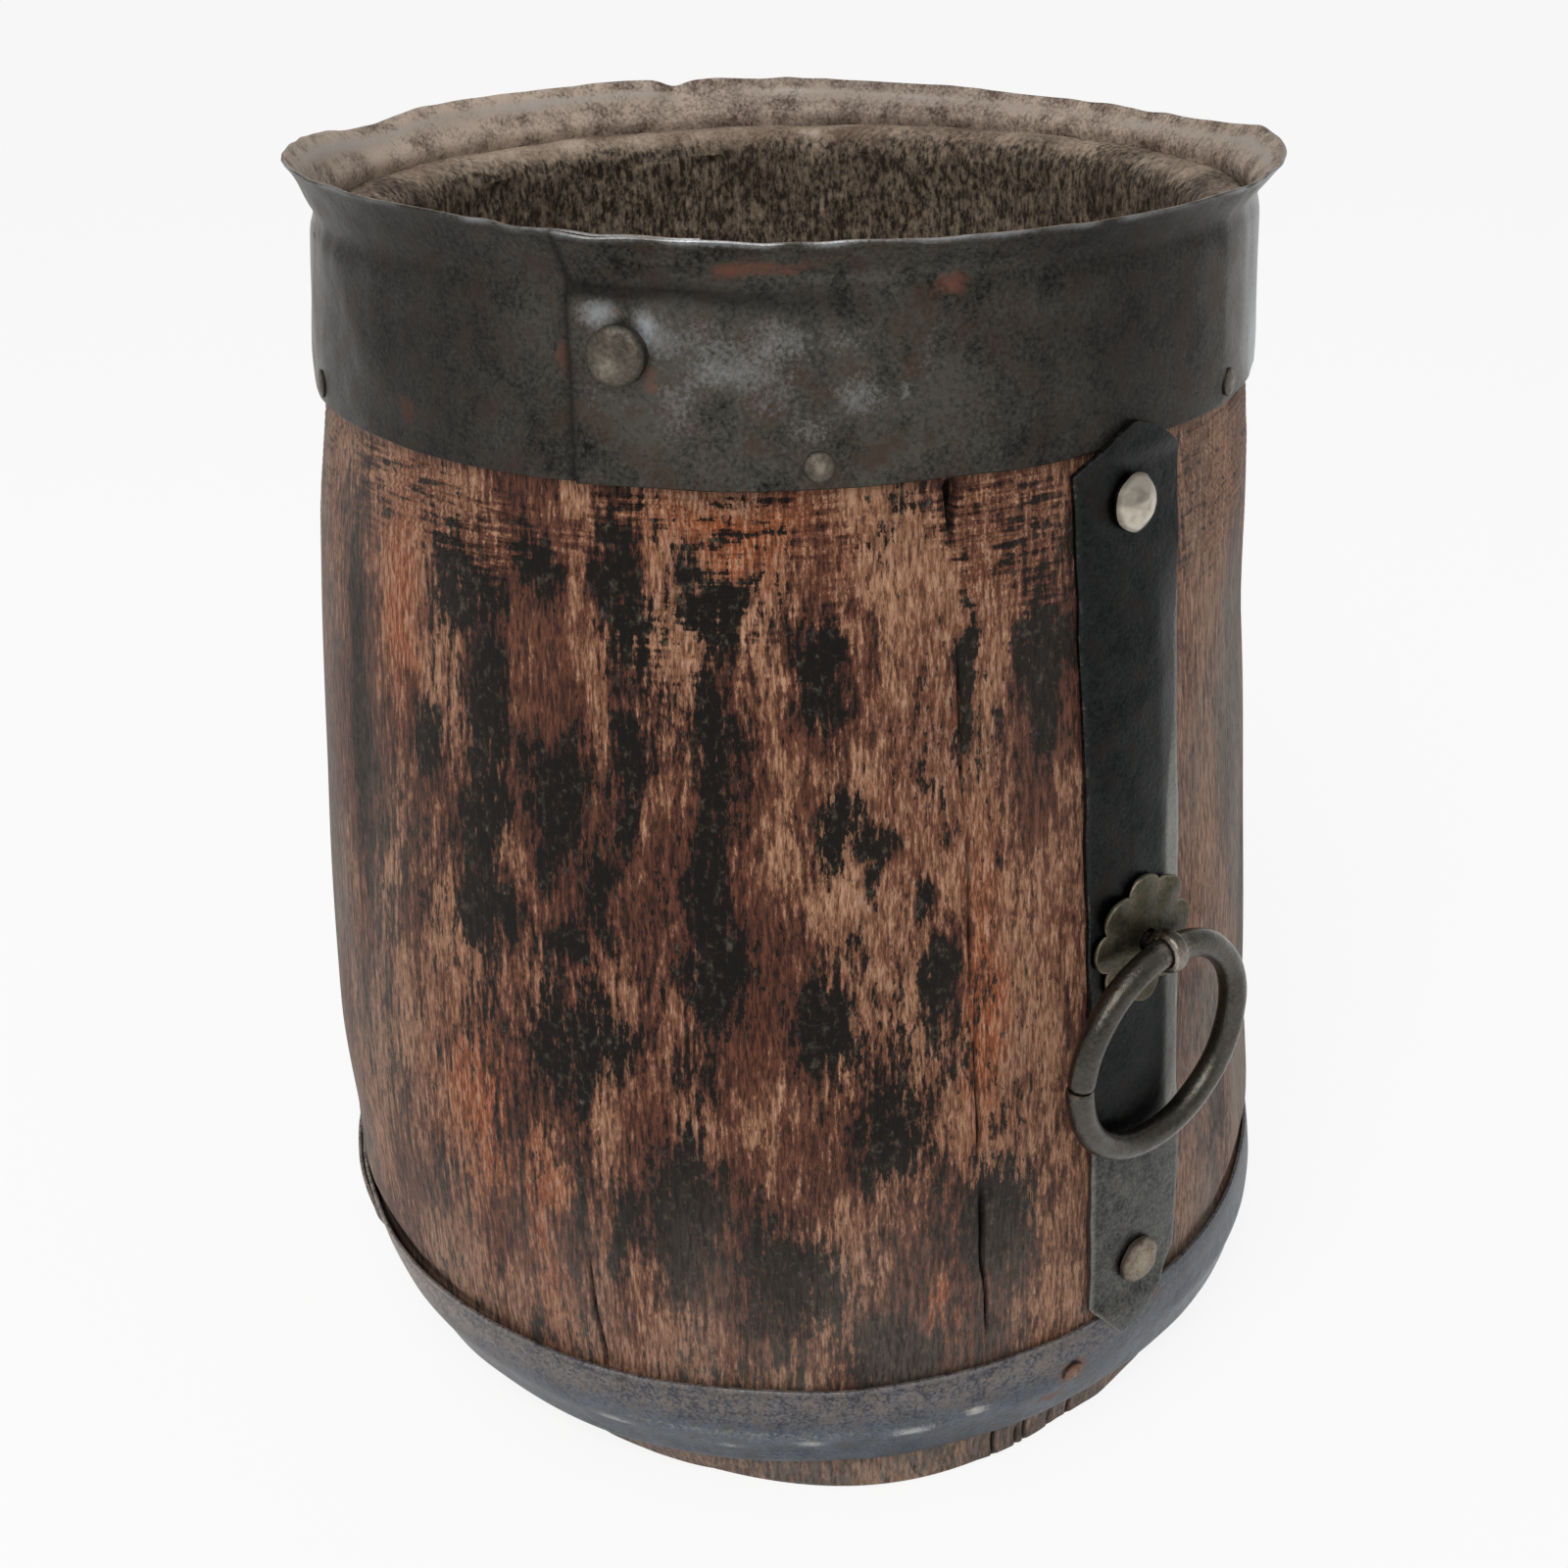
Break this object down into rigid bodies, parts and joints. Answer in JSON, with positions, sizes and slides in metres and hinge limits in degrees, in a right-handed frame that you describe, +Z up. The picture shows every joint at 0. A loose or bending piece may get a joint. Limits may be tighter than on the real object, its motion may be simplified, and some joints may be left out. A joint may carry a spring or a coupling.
{
  "type": "grain measure",
  "caption": "Tall hollowed wooden vessel for measuring grain, bound with sheet iron at mouth and foot, with an iron side strap that carries a swinging lifting ring on a staple",
  "frame": {"origin": "centre of the foot, on the surface the measure stands on", "axes": "+Z up through the mouth, -Y towards the strap and its ring, +X to the right of the strap as seen from in front of it"},
  "size_m": [0.2614, 0.2668, 0.3031],
  "materials": {
    "aged_wood": "hewn hardwood, worn and stained dark in long blotches",
    "sheet_iron": "dark hammered sheet iron with light rust",
    "strap_iron": "blue-black satin wrought iron with bright worn edges",
    "bar_iron": "dark handled wrought iron with a satin gloss",
    "rosette_iron": "grey-olive thin sheet iron with light edges",
    "nail_iron": "worn nail heads with brown rust",
    "bright_nail": "satin nickel-like dome"
  },
  "bodies": {
    "vessel": {"wooden_body": "aged_wood", "rim_band": "sheet_iron", "rim_seam_nail": "nail_iron", "rim_nail_1": "nail_iron", "rim_nail_2": "nail_iron", "rim_nail_3": "nail_iron", "rim_nail_4": "nail_iron", "rim_nail_5": "nail_iron", "rim_nail_6": "nail_iron", "base_band": "sheet_iron", "base_nail_1": "nail_iron", "base_nail_2": "nail_iron", "base_nail_3": "nail_iron", "side_strap": "strap_iron", "strap_top_nail": "bright_nail", "strap_bottom_nail": "nail_iron", "rosette": "rosette_iron", "ring_staple": "bar_iron"},
    "ring": {"ring": "bar_iron"}
  },
  "joints": [
    {"name": "ring_swing", "type": "hinge", "parent": "vessel", "child": "ring", "pos_m": [0, -0.13131, 0.144], "axis": [-1, 0, 0], "range_deg": [0, 190]}
  ]
}
